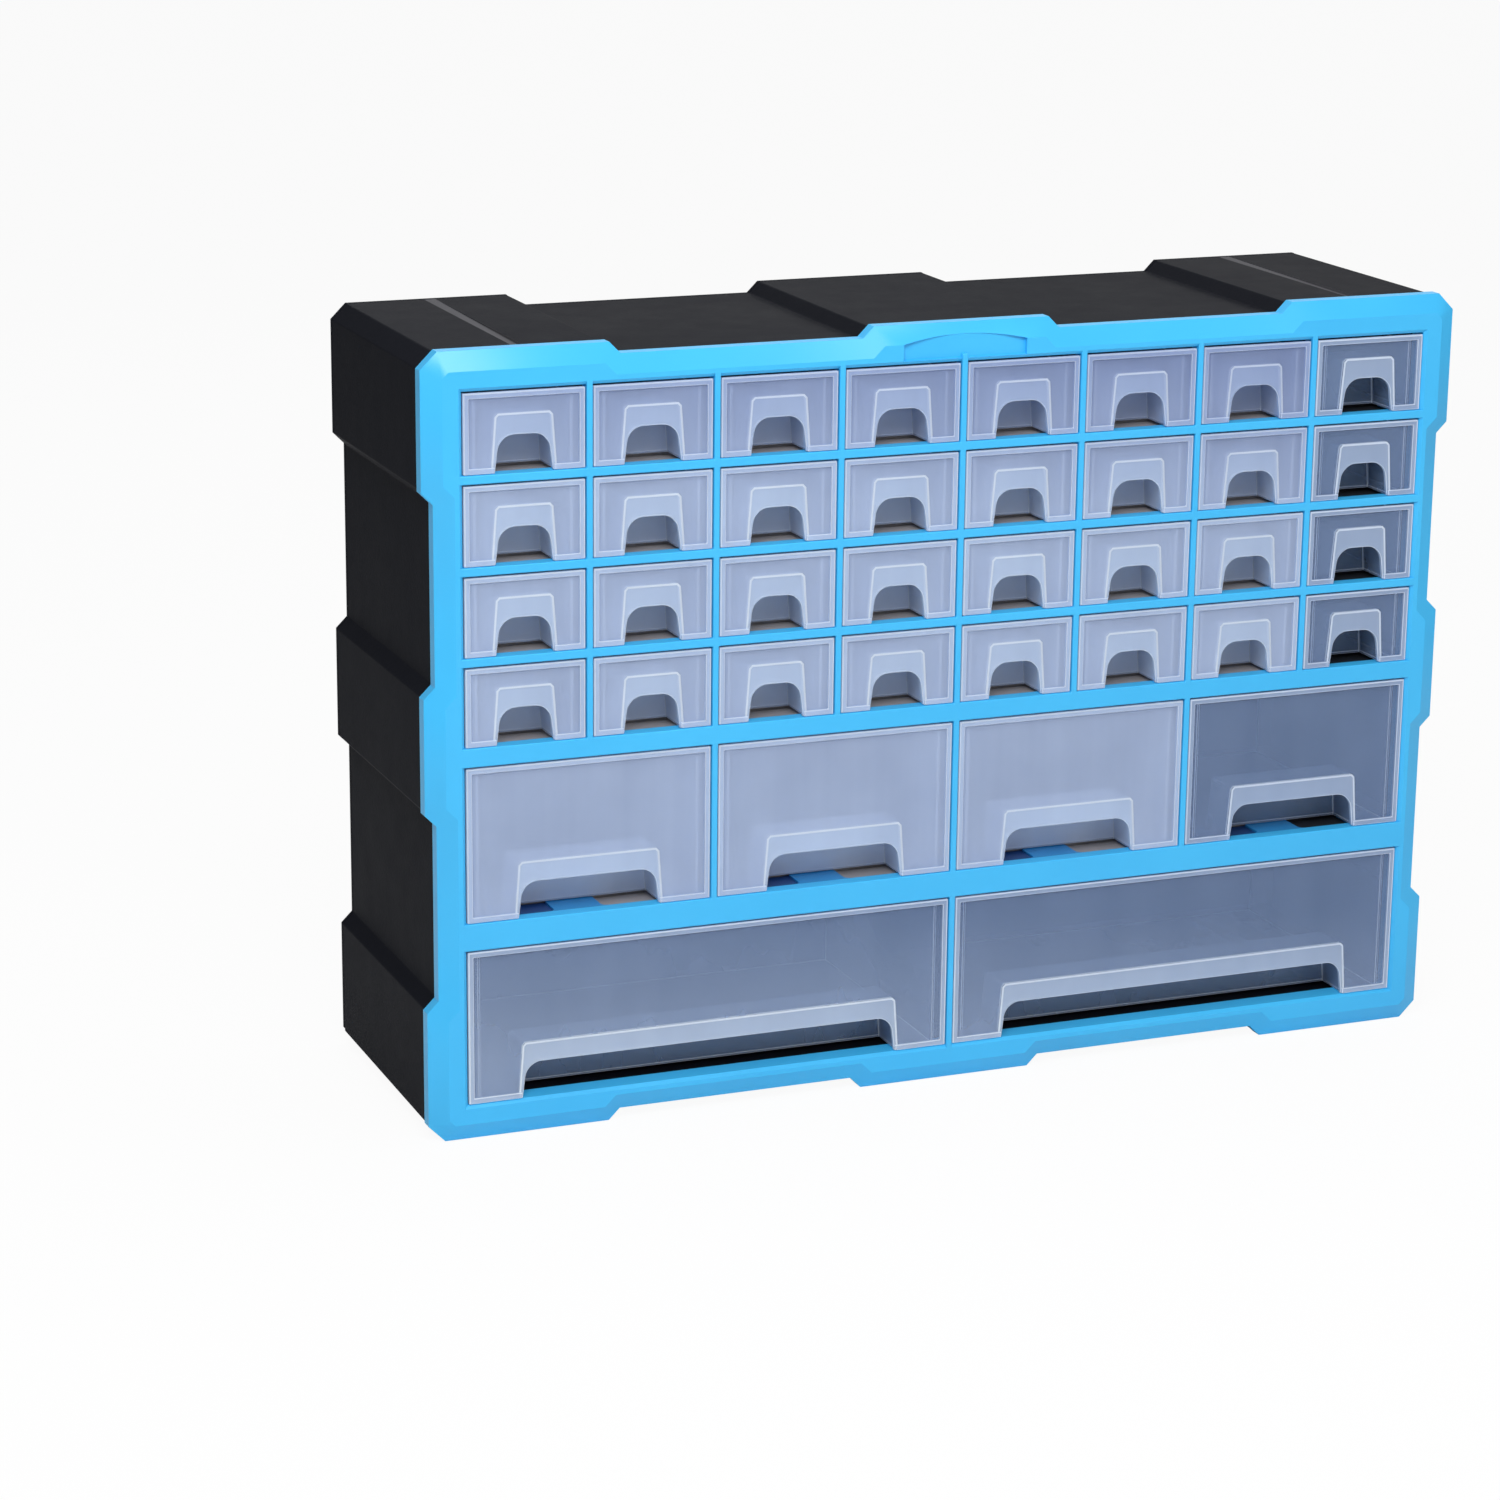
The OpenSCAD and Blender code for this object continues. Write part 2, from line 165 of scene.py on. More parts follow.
lamp("key", (-0.45, -1.0, 1.3), (0, -0.07, 0.25), 1.0, 0.6, 18.5)
lamp("fill", (1.6, -2.2, 0.9), (0, 0, 0.2), 1.2, 1.2, 7)
lamp("rear", (0.7, 1.8, 0.95), (0, 0, 0.37), 1.8, 0.5, 3)
lamp("overhead", (0.3, 0.15, 1.5), (0.05, 0, 0.37), 1.4, 0.7, 5)


# Front frame. One injection moulding in glossy light blue plastic: a bevelled outer frame with
# raised bands, the bars between the drawers, and the tongues behind the bars, on which the
# drawers rest. Its back plugs into the housing.
mm = 0.001
hair = 0.02 * mm
same_place = 1e-6
half_w = 259.95 * mm
half_h = 184.05 * mm
front_y = -75 * mm
frame_deep = 6.5 * mm
bevel_w = 8.6 * mm
bevel_deep = 5 * mm
band_rise = 5.4 * mm
middle_band = 44 * mm
corner_band = 88 * mm
side_band = 63 * mm
waist_band = 27 * mm
corner_cut = 8 * mm
columns = 8
pitch = 60.9 * mm
bar = 2.9 * mm
bar_depth = 7.5 * mm
window_x = 242.15 * mm
window_low = 17.8 * mm
window_high = 350.3 * mm
slope = 1.6 * mm

# Each row is the foot and the top of its openings, and how many columns a drawer takes.
small_foot = 187.9 * mm
small_step = 41.6 * mm
small_h = 37.6 * mm
large_row = (window_low, 92.3 * mm, 4)
medium_row = (105.1 * mm, 179.1 * mm, 2)
small_rows = [(small_foot + small_step * n, small_foot + small_step * n + small_h, 1)
              for n in range(4)]
rows = [large_row, medium_row] + small_rows


def banded_face(mesh, y):
    """The whole outline as one face: a quarter of it, mirrored twice."""
    quarter = [
        (0, half_h), (middle_band, half_h), (middle_band + band_rise, half_h - band_rise),
        (half_w - corner_band - band_rise, half_h - band_rise), (half_w - corner_band, half_h),
        (half_w - corner_cut, half_h), (half_w, half_h - corner_cut), (half_w, half_h - side_band),
        (half_w - band_rise, half_h - side_band - band_rise),
        (half_w - band_rise, waist_band + band_rise), (half_w, waist_band), (half_w, 0),
    ]
    corners = [mesh.verts.new((x, y, z)) for x, z in quarter]
    for pair in zip(corners, corners[1:]):
        mesh.edges.new(pair)
    for axis in ("X", "Z"):
        bmesh.ops.mirror(mesh, geom=mesh.verts[:] + mesh.edges[:], matrix=Matrix.Identity(4),
                         merge_dist=same_place, axis=axis)
    middles = [v for v in mesh.verts if abs(v.co.x) < same_place or abs(v.co.z) < same_place]
    bmesh.ops.dissolve_verts(mesh, verts=middles)
    bmesh.ops.translate(mesh, vec=(0, 0, half_h), verts=mesh.verts)
    return bmesh.ops.edgeloop_fill(mesh, edges=mesh.edges[:])["faces"][0]


def turned_forward(face):
    if face.normal.y > 0:
        face.normal_flip()


def extruded(mesh, faces, direction):
    edges = {edge for face in faces for edge in face.edges}
    moved = bmesh.ops.extrude_face_region(mesh, geom=list(faces) + list(edges),
                                          use_keep_orig=True)["geom"]
    bmesh.ops.translate(mesh, vec=direction,
                        verts=[g for g in moved if isinstance(g, bmesh.types.BMVert)])
    bmesh.ops.recalc_face_normals(mesh, faces=mesh.faces)


def sliced(mesh, faces, place, normal):
    """Cuts the faces along a plane, and leaves both sides of the cut."""
    parts = set(faces)
    for face in faces:
        parts.update(face.edges)
        parts.update(face.verts)
    bmesh.ops.bisect_plane(mesh, geom=list(parts), dist=same_place, plane_co=place,
                           plane_no=normal)


def upright_faces(mesh):
    """The faces that look straight to the front or the back."""
    return [f for f in mesh.faces if abs(f.normal.y) > 0.99]


def inside_window(point):
    return abs(point.x) < window_x and window_low < point.z < window_high


def on_lip(edge):
    """Whether an edge of the ring's front runs round the window."""
    return all(
        abs(v.co.y - front_y) < same_place and abs(v.co.x) < window_x + same_place
        and window_low - same_place < v.co.z < window_high + same_place for v in edge.verts)


ring = bmesh.new()
face = banded_face(ring, front_y + bevel_deep)
turned_forward(face)
extruded(ring, [face], (0, frame_deep, 0))
front = min(ring.faces, key=lambda f: f.calc_center_median().y)
bmesh.ops.inset_region(ring, faces=[front], thickness=bevel_w, depth=bevel_deep,
                       use_boundary=True, use_even_offset=True)
for place, normal in (
    ((window_x, 0, 0), (1, 0, 0)), ((-window_x, 0, 0), (1, 0, 0)),
    ((0, 0, window_low), (0, 0, 1)), ((0, 0, window_high), (0, 0, 1)),
):
    sliced(ring, upright_faces(ring), place, normal)
opening = [f for f in upright_faces(ring) if inside_window(f.calc_center_median())]
bmesh.ops.delete(ring, geom=opening, context="FACES")
bmesh.ops.bridge_loops(ring, edges=[e for e in ring.edges if e.is_boundary])
bmesh.ops.recalc_face_normals(ring, faces=ring.faces)
bmesh.ops.bevel(ring, geom=[e for e in ring.edges if on_lip(e)], offset=slope, segments=1,
                profile=0.5, affect="EDGES", material=-1)
bmesh.ops.dissolve_limit(ring, angle_limit=radians(1), verts=ring.verts, edges=ring.edges)


def finished(mesh, name, *materials):
    """The mesh as an object that stands in its place, with smooth shading for its round edges."""
    bmesh.ops.recalc_face_normals(mesh, faces=mesh.faces)
    for one in mesh.faces:
        one.smooth = True
    data = bpy.data.meshes.new(name)
    mesh.to_mesh(data)
    mesh.free()
    piece = bpy.data.objects.new(name, data)
    bpy.context.scene.collection.objects.link(piece)
    for material in materials:
        data.materials.append(material)
    return piece


def carved(piece, cutter):
    """Takes the cutter's shape out of the piece, with the piece's modifiers applied."""
    cut = piece.modifiers.new("cut", "BOOLEAN")
    cut.operation = "DIFFERENCE"
    cut.solver = "EXACT"
    cut.object = cutter
    graph = bpy.context.evaluated_depsgraph_get()
    piece.data = bpy.data.meshes.new_from_object(piece.evaluated_get(graph))
    piece.modifiers.clear()
    bpy.data.objects.remove(cutter)


def rounded(piece, width, segments, material=-1):
    """Rounds the edges as a mould leaves them."""
    edge = piece.modifiers.new("rounded_edges", "BEVEL")
    edge.width = width
    edge.segments = segments
    edge.limit_method = "ANGLE"
    edge.angle_limit = radians(24)
    edge.harden_normals = True
    edge.material = material
    edge.use_clamp_overlap = True


def recoloured(finish, name, dark, light):
    """A copy of a finish with another pair of colours."""
    copy = finish.copy()
    copy.name = name
    mix = copy.node_tree.nodes["Mix"]
    mix.inputs[6].default_value = dark
    mix.inputs[7].default_value = light
    return copy


blue = bpy.data.materials.new("blue_plastic")
blue.use_nodes = True
dye = Wire(blue.node_tree)
where = dye.node("TexCoord", output="Object")
cloud = dye.node("TexNoise", {}, {"Vector": where, "Scale": 14, "Detail": 3})
grain = dye.node("TexNoise", {}, {"Vector": where, "Scale": 1400, "Detail": 2})
flow = dye.node("TexNoise", {}, {"Vector": where, "Scale": 120, "Detail": 2})
dye.feed(blue.node_tree.nodes["Principled BSDF"], {
    "Base Color": dye.mixed(cloud, (0.040, 0.46, 0.88, 1), (0.055, 0.54, 0.96, 1)),
    "Roughness": 0.30 + cloud * 0.10 + grain * 0.05,
    "Normal": dye.node("Bump", {}, {"Strength": 0.25, "Distance": 0.00025,
                                    "Height": grain * 0.4 + flow * 0.6}),
})
# The tongues get a darker copy of the blue: painted shade for the shadow under the drawers.
shaded_blue = recoloured(blue, "blue_plastic_painted_shade",
                       (0.015, 0.22, 0.54, 1), (0.024, 0.28, 0.62, 1))
# The notch plates get a near-black blue: painted shade.
notch_painted_shade = recoloured(blue, "blue_plastic_painted_shade_in_the_notch",
                        (0.006, 0.04, 0.16, 1), (0.010, 0.06, 0.22, 1))

panel_half = 31 * mm
panel_side = 7.6 * mm
panel_rise = 3.4 * mm
panel_deep = 2.2 * mm
panel_foot = window_high + slope
cutter_out = 1 * mm
outer_frame = finished(ring, "front_frame_ring", blue)
panel = bmesh.new()
panel_r = (panel_half ** 2 + panel_rise ** 2) / (2 * panel_rise)
panel_centre = Vector((0, front_y - cutter_out, panel_foot + panel_side + panel_rise - panel_r))
half_turn = asin(panel_half / panel_r)
end = panel.verts.new((-panel_half, panel_centre.y, panel_foot + panel_side))
bmesh.ops.spin(panel, geom=[end], cent=panel_centre, axis=(0, 1, 0), angle=2 * half_turn,
               steps=20, use_merge=False)
panel.verts.ensure_lookup_table()
foot = [panel.verts.new((x, panel_centre.y, panel_foot)) for x in (panel_half, -panel_half)]
last = max(panel.verts, key=lambda v: (round(v.co.x, 5), v.co.z))
panel.edges.new((last, foot[0]))
panel.edges.new((foot[0], foot[1]))
panel.edges.new((foot[1], end))
sheet = bmesh.ops.edgeloop_fill(panel, edges=panel.edges[:])["faces"]
extruded(panel, sheet, (0, panel_deep + cutter_out, 0))
carved(outer_frame, finished(panel, "panel_cutter"))
rounded(outer_frame, 0.8 * mm, 3)

bar_setback = 0.03 * mm
bar_reach = 3.5 * mm


def bar_x(line):
    """The middle of an upright bar. The first and last run along the window's sides."""
    return (line - columns / 2) * pitch


lattice = bmesh.new()
lattice_middle = (0, front_y + bar_setback, (window_low + window_high) / 2)
lattice_half = (window_x + bar_reach, (window_high - window_low) / 2 + bar_reach, 1, 1)
bmesh.ops.create_grid(lattice, x_segments=1, y_segments=1, size=1,
                      matrix=Matrix.Translation(lattice_middle)
                      @ Matrix.Rotation(radians(90), 4, "X") @ Matrix.Diagonal(lattice_half))
for line in range(1, columns):
    for side in (-1, 1):
        sliced(lattice, lattice.faces[:], (bar_x(line) + side * bar / 2, 0, 0), (1, 0, 0))
for side in (-1, 1):
    sliced(lattice, lattice.faces[:], (side * window_x, 0, 0), (1, 0, 0))
for low, high, span in rows:
    sliced(lattice, lattice.faces[:], (0, 0, low), (0, 0, 1))
    sliced(lattice, lattice.faces[:], (0, 0, high), (0, 0, 1))


def on_bar(point):
    """Whether a point of the plane lies on a bar, or where a bar runs into the outer frame."""
    spans = [span for low, high, span in rows if low < point.z < high]
    if point.z > window_high:
        spans = [small_rows[-1][2]]
    elif point.z < window_low:
        spans = [large_row[2]]
    if not spans:
        return True
    cell = spans[0] * pitch
    into_cell = (point.x - bar_x(0)) % cell
    return abs(point.x) < window_x and not bar / 2 < into_cell < cell - bar / 2


openings = [f for f in lattice.faces if not on_bar(f.calc_center_median())]
bmesh.ops.delete(lattice, geom=openings, context="FACES")
bmesh.ops.dissolve_limit(lattice, angle_limit=radians(1), verts=lattice.verts,
                         edges=lattice.edges)
extruded(lattice, lattice.faces[:], (0, bar_depth, 0))
bars = finished(lattice, "front_frame_bars", blue)
rounded(bars, 0.6 * mm, 3)

tongue_depth = 24 * mm
tongue_t = 1.5 * mm
tongue_corner = 2.5 * mm
tongue_root = 3 * mm
strip_half = 0.4 * mm
strip_end = window_x - 0.1 * mm
wall_near = window_x - 0.2 * mm
tongues = bmesh.new()


def tongue_sides(lines, left, right):
    """Where the tongues behind these bars begin and end, left and right of the bar's middle."""
    return [(bar_x(line) - left, bar_x(line) + right) for line in lines]


def comb(top_z, sides):
    """A strip behind a bar with tongues that reach back, filleted at the root."""
    strip = bmesh.new()
    root_y = front_y + bar_depth
    bmesh.ops.create_grid(strip, x_segments=1, y_segments=1, size=1,
                          matrix=Matrix.Translation((0, root_y - strip_half, top_z))
                          @ Matrix.Diagonal((strip_end, strip_half, 1, 1)))
    for x in [x for pair in sides for x in pair if abs(x) < wall_near]:
        sliced(strip, strip.faces[:], (x, 0, 0), (1, 0, 0))
    rear = [e for e in strip.edges if all(abs(v.co.y - root_y) < same_place for v in e.verts)
            and any(x0 < (e.verts[0].co.x + e.verts[1].co.x) / 2 < x1 for x0, x1 in sides)]
    grown = bmesh.ops.extrude_edge_only(strip, edges=rear)["geom"]
    bmesh.ops.translate(strip, vec=(0, tongue_depth - bar_depth, 0),
                        verts=[g for g in grown if isinstance(g, bmesh.types.BMVert)])
    bmesh.ops.recalc_face_normals(strip, faces=strip.faces)
    bmesh.ops.dissolve_faces(strip, faces=strip.faces[:])
    extruded(strip, strip.faces[:], (0, 0, -tongue_t))
    upright = [e for e in strip.edges if abs((e.verts[0].co - e.verts[1].co).z) > tongue_t / 2
               and abs(e.verts[0].co.x) < wall_near]
    free = [e for e in upright if e.verts[0].co.y > root_y + strip_half]
    root = [e for e in upright if abs(e.verts[0].co.y - root_y) < same_place]
    bmesh.ops.bevel(strip, geom=free, offset=tongue_corner, segments=5, profile=0.5,
                    affect="EDGES", material=-1)
    bmesh.ops.bevel(strip, geom=[e for e in root if e.is_valid], offset=tongue_root, segments=5,
                    profile=0.5, affect="EDGES", material=-1)
    data = bpy.data.meshes.new("comb")
    strip.to_mesh(data)
    strip.free()
    tongues.from_mesh(data)
    bpy.data.meshes.remove(data)


wide_half = 24 * mm
narrow_left = 14.5 * mm
narrow_right = 8.5 * mm
small_left = 12.5 * mm
notch_w = 24 * mm
notch_depth = 16.4 * mm
notch_t = 0.5 * mm
notch_y = front_y + 15.5 * mm
notch_z = medium_row[0] - 1.25 * mm

for low, high, span in small_rows:
    comb(low - hair, tongue_sides(range(columns + 1), small_left, narrow_right))
comb(medium_row[0] - hair, tongue_sides(range(0, columns + 1, 2), wide_half, wide_half)
     + tongue_sides(range(1, columns, 2), narrow_left, narrow_right))
# A thin plate in the notch left of each odd bar, in the near-black blue: a dark sheet of painted
# shade under the medium drawers.
for line in range(1, columns, 2):
    notch_x = bar_x(line) - (pitch + narrow_left - wide_half) / 2
    made = bmesh.ops.create_cube(
        tongues, size=1, matrix=Matrix.Translation((notch_x, notch_y, notch_z))
        @ Matrix.Diagonal((notch_w, notch_depth, notch_t, 1)))
    for one in {f for v in made["verts"] for f in v.link_faces}:
        one.material_index = 1
# The tongues carry the darker blue of painted shade, and the notch plates the near-black blue of
# painted shade.
ledges = finished(tongues, "front_frame_tongues", shaded_blue, notch_painted_shade)
rounded(ledges, 0.24 * mm, 2)

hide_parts("front_frame")
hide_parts(*[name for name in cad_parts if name.startswith("frame_grid")])
for piece in (outer_frame, bars, ledges):
    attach(piece, "cabinet")


# Housing. The shell behind the frame, moulded in textured black plastic with the same bands as
# the frame's outline, and with a tapering groove in each top corner band. The frame plugs into
# its front, and it is open at the back.
housing_step = 1.2 * mm
shell_front = front_y + 11.5 * mm
shell_length = 136.1 * mm
shell_back = shell_front + shell_length
shell_top = 2 * half_h - housing_step
wall_t = 2.2 * mm
groove_x = 210.95 * mm
groove_w = 5.5 * mm
groove_deep = 1.4 * mm
cutter_h = 2 * mm
cutter_length = 200 * mm

black = bpy.data.materials.new("black_plastic")
black.use_nodes = True
soot = Wire(black.node_tree)
where = soot.node("TexCoord", output="Object")
patch = soot.node("TexNoise", {}, {"Vector": where, "Scale": 8, "Detail": 4})
leather = soot.node("TexNoise", {}, {"Vector": where, "Scale": 700, "Detail": 3, "Roughness": 0.6})
rub = soot.node("TexNoise", {}, {"Vector": where, "Scale": 60, "Detail": 5, "Roughness": 0.7})
soot.feed(black.node_tree.nodes["Principled BSDF"], {
    "Base Color": soot.mixed(patch, (0.005, 0.006, 0.010, 1), (0.010, 0.011, 0.016, 1)),
    "Roughness": 0.42 + patch * 0.12 + rub * 0.10,
    "Normal": soot.node("Bump", {}, {"Strength": 0.35, "Distance": 0.0003, "Height": leather}),
    "Specular IOR Level": 0.03,
})
# The grooves get a grey copy of the black: a painted highlight on the groove's walls and floor.
groove_highlight_black = recoloured(black, "black_plastic_painted_highlight_in_the_grooves",
                          (0.07, 0.07, 0.08, 1), (0.12, 0.12, 0.13, 1))

shell = bmesh.new()
face = banded_face(shell, shell_front)
turned_forward(face)
border = bmesh.ops.inset_region(shell, faces=[face], thickness=housing_step, use_boundary=True,
                                use_even_offset=True)["faces"]
bmesh.ops.delete(shell, geom=border, context="FACES")
bmesh.ops.translate(shell, vec=(0, 0, -housing_step),
                    verts=[v for v in shell.verts if v.co.z < 10 * mm])
extruded(shell, shell.faces[:], (0, shell_length, 0))
bmesh.ops.delete(shell, geom=upright_faces(shell), context="FACES")
housing = finished(shell, "housing_shell", black, groove_highlight_black)
wall = housing.modifiers.new("wall", "SOLIDIFY")
wall.thickness = wall_t
wall.offset = -1
wall.use_even_offset = True
rounded(housing, 0.6 * mm, 3)
for side in (-1, 1):
    groove = bmesh.new()
    bmesh.ops.create_cube(
        groove, size=1, matrix=Matrix.Translation((side * groove_x, 0, shell_top + cutter_h / 2))
        @ Matrix.Diagonal((groove_w, cutter_length, cutter_h, 1)))
    for v in groove.verts:
        if v.co.z < shell_top + cutter_h / 2:
            v.co.z = shell_top - groove_deep * (shell_back - v.co.y) / shell_length
    carved(housing, finished(groove, "groove_cutter"))


groove_inner = 208 * mm
groove_outer = 213.8 * mm
groove_low = 365 * mm
groove_high = 366.88 * mm
largest_rounding = 0.8e-4


def near_groove(point):
    """Whether a face's middle lies in a groove, or on the rim of the band that holds it."""
    return groove_inner < abs(point.x) < groove_outer and groove_low < point.z < groove_high


# Small faces are shaded smooth, and the faces in and beside the grooves take the grey painted
# highlight.
for one in housing.data.polygons:
    one.use_smooth = one.area < largest_rounding
    if near_groove(one.center):
        one.material_index = 1
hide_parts("housing_left", "housing_right", "housing_top", "housing_bottom")
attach(housing, "cabinet")


# Back panel and base. The panel closes the shell's back and holds two keyholes for screws in a
# wall, and the base lies under the large drawers. Both are flat black plastic and keep the shape
# that the CAD part gives them.
def recoated(node, material):
    """A CAD node that keeps its shape and gets the finish."""
    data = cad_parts[node].data
    data.materials.clear()
    data.materials.append(material)


recoated("back_panel", black)
recoated("base_shelf", black)


# Shelves. Flat plates in a dull warm grey plastic, one under each row of drawers, let in between
# the housing's walls. All that shows is a strip behind each finger pocket. At the right end of the
# cabinet that strip lies in the dark, and its colour turns near black there: painted shade.
dark_from = 172 * mm
dark_edge = 120
dull = bpy.data.materials.new("grey_plastic_painted_shade_right")
dull.use_nodes = True
board = Wire(dull.node_tree)
where = board.node("TexCoord", output="Object")
smear = board.node("TexNoise", {}, {"Vector": where, "Scale": 45, "Detail": 3})
right_end = board.node("SeparateXYZ", {}, {"Vector": where}, 0)
# Right of dark_from the colour turns to near black: painted shade.
unlit = board.node("Clamp", {}, {"Value": (right_end - dark_from) * dark_edge})
warm_grey = board.mixed(smear, (0.27, 0.25, 0.25, 1), (0.40, 0.37, 0.36, 1))
board.feed(dull.node_tree.nodes["Principled BSDF"], {
    "Base Color": board.mixed(unlit, warm_grey, (0.008, 0.010, 0.014, 1)),
    "Roughness": 0.55 + smear * 0.2,
    "Normal": board.node("Bump", {}, {"Strength": 0.2, "Distance": 0.0002, "Height": smear}),
})
for name in ("small_shelf_1", "small_shelf_2", "small_shelf_3", "small_shelf_4", "medium_shelf"):
    recoated(name, dull)


# Drawers. Each is one frosted moulding: a front with a raised rim and an arched opening, a tub
# behind it, and a finger pocket that stands up inside the tub and is open below. They slide on
# the shelves and tongues.
walls, pockets, rims, painted_highlight_edges = range(4)  # the order of the finishes on a drawer


def frosted(name, dark, light, cover, painted_shade_above):
    """Frosted plastic, of which each face covers a share of what lies behind it."""
    made = bpy.data.materials.new(name)
    made.use_nodes = True
    milk = Wire(made.node_tree)
    where = milk.node("TexCoord", output="Object")
    long = milk.node("Mapping", {}, {"Vector": where, "Scale": (90, 20, 6)})
    streak = milk.node("TexNoise", {}, {"Vector": long, "Scale": 1, "Detail": 2})
    haze = milk.node("TexNoise", {}, {"Vector": where, "Scale": 26, "Detail": 2})
    pits = milk.node("TexNoise", {}, {"Vector": where, "Scale": 900, "Detail": 1})
    cloud = haze * 0.6 + streak * 0.4
    sideways = milk.node("SeparateXYZ", {}, {"Vector": where}, 0)
    level = milk.node("SeparateXYZ", {}, {"Vector": where}, 2)
    # Painted shade: the frosting is paler below a given height and darker above it and towards the
    # right.
    pale = milk.node("Clamp", {}, {"Value": (painted_shade_above - level) * 14 - sideways * 1.5})
    painted_shade_and_haze = pale * 0.7 + cloud * 0.3
    milk.feed(made.node_tree.nodes["Principled BSDF"], {
        "Base Color": milk.mixed(painted_shade_and_haze, dark, light),
        "Roughness": 0.28 + cloud * 0.2,
        "Alpha": cover - 0.05 + cloud * 0.10,
        "Normal": milk.node("Bump", {}, {"Strength": 0.12, "Distance": 0.0002, "Height": pits}),
    })
    return made


def frosted_set(ending, painted_shade_above, *shades):
    """The finishes of a drawer's walls, pocket, rim and edges with a painted highlight, in that
    order.
    """
    names = ("frosted_walls", "frosted_pockets", "frosted_rims", "frosted_painted_highlight_edges")
    return [frosted(name + ending, dark, light, cover, painted_shade_above)
            for name, (dark, light, cover) in zip(names, shades)]


# Most drawers stand before the lit inside of the cabinet and look milky. Those in the right
# column and the large ones stand before black plastic; their frosting is thinner and has painted
# shade.
pale_set = frosted_set(
    "", 355 * mm,
    ((0.28, 0.37, 0.66, 1), (0.60, 0.73, 1.0, 1), 0.41),
    ((0.46, 0.55, 0.82, 1), (0.70, 0.81, 1.0, 1), 0.57),
    ((0.37, 0.48, 0.78, 1), (0.63, 0.77, 1.0, 1), 0.46),
    ((0.66, 0.76, 0.96, 1), (0.82, 0.91, 1.0, 1), 0.56),
)
painted_shade_set = frosted_set(
    "_painted_shade", 85 * mm,
    ((0.19, 0.29, 0.52, 1), (0.46, 0.58, 0.82, 1), 0.37),
    ((0.22, 0.32, 0.50, 1), (0.26, 0.35, 0.52, 1), 0.45),
    ((0.44, 0.57, 0.82, 1), (0.68, 0.80, 0.99, 1), 0.46),
    ((0.72, 0.82, 0.98, 1), (0.88, 0.95, 1.0, 1), 0.72),
)

drawer_y = front_y + 1.5 * mm
drawer_gap = 1.2 * mm
drawer_lift = 0.3 * mm
front_t = 2 * mm
skin = 1.3 * mm
lap = 0.5 * mm
taper = 2 * mm
arch_h = 16.8 * mm
arch_corner = 7 * mm
pocket_h = 26.6 * mm
pocket_depth = 19 * mm
pocket_corner = 2.4 * mm
pocket_chamfer = 3.4 * mm
pocket_line = 0.9 * mm
pocket_lap = 0.7 * mm
rim_w = 2.6 * mm
rim_from = 1 * mm
rim_rise = 1.8 * mm
rim_line = 0.7 * mm
rim_clear = 0.4 * mm
tub_back = 134 * mm
tub_inset = 5 * mm
tub_drop = 3.2 * mm


def outline_face(mesh, points, y):
    face = mesh.faces.new([mesh.verts.new((x, y, z)) for x, z in points])
    face.normal_update()
    return face


def joined(whole, part, finish):
    """Adds a closed part of the moulding, which overlaps its neighbours, to the whole."""
    for one in part.faces:
        if one.material_index == walls:
            one.material_index = finish
    data = bpy.data.meshes.new("part")
    part.to_mesh(data)
    part.free()
    whole.from_mesh(data)
    bpy.data.meshes.remove(data)


def front_plate(width, height, pocket_w, arch_x):
    """The front, with the arch cut out of it and the pocket's outline painted on it in the rim's
    finish, edged with a painted highlight.
    """
    plate = bmesh.new()
    face = outline_face(plate, [
        (-width / 2, 0), (-arch_x, 0), (-arch_x + taper, arch_h), (arch_x - taper, arch_h),
        (arch_x, 0), (width / 2, 0), (width / 2, height), (-width / 2, height)], 0)
    extruded(plate, [face], (0, front_t, 0))
    crown = [e for e in plate.edges
             if abs((e.verts[0].co - e.verts[1].co).y) > front_t / 2
             and abs(e.verts[0].co.z - arch_h) < same_place]
    bmesh.ops.bevel(plate, geom=crown, offset=arch_corner, segments=8, profile=0.5,
                    affect="EDGES", material=-1)
    for inset, finish in ((0, painted_highlight_edges), (pocket_line, rims)):
        corner = pocket_w / 2 - pocket_chamfer - 1.4 * inset
        sliced(plate, plate.faces[:], (0, 0, pocket_h - inset), (0, 0, 1))
        for side in (-1, 1):
            sliced(plate, plate.faces[:], (side * (pocket_w / 2 - inset), 0, 0),
                   (side * pocket_h, 0, taper))
            sliced(plate, plate.faces[:], (side * corner, 0, pocket_h), (side, 0, 1))
        for one in plate.faces:
            middle = one.calc_center_median()
            pocket_edge = pocket_w / 2 - inset - taper * middle.z / pocket_h
            if (middle.z < pocket_h - inset and abs(middle.x) < pocket_edge
                    and abs(middle.x) + middle.z < corner + pocket_h):
                one.material_index = finish
    return plate


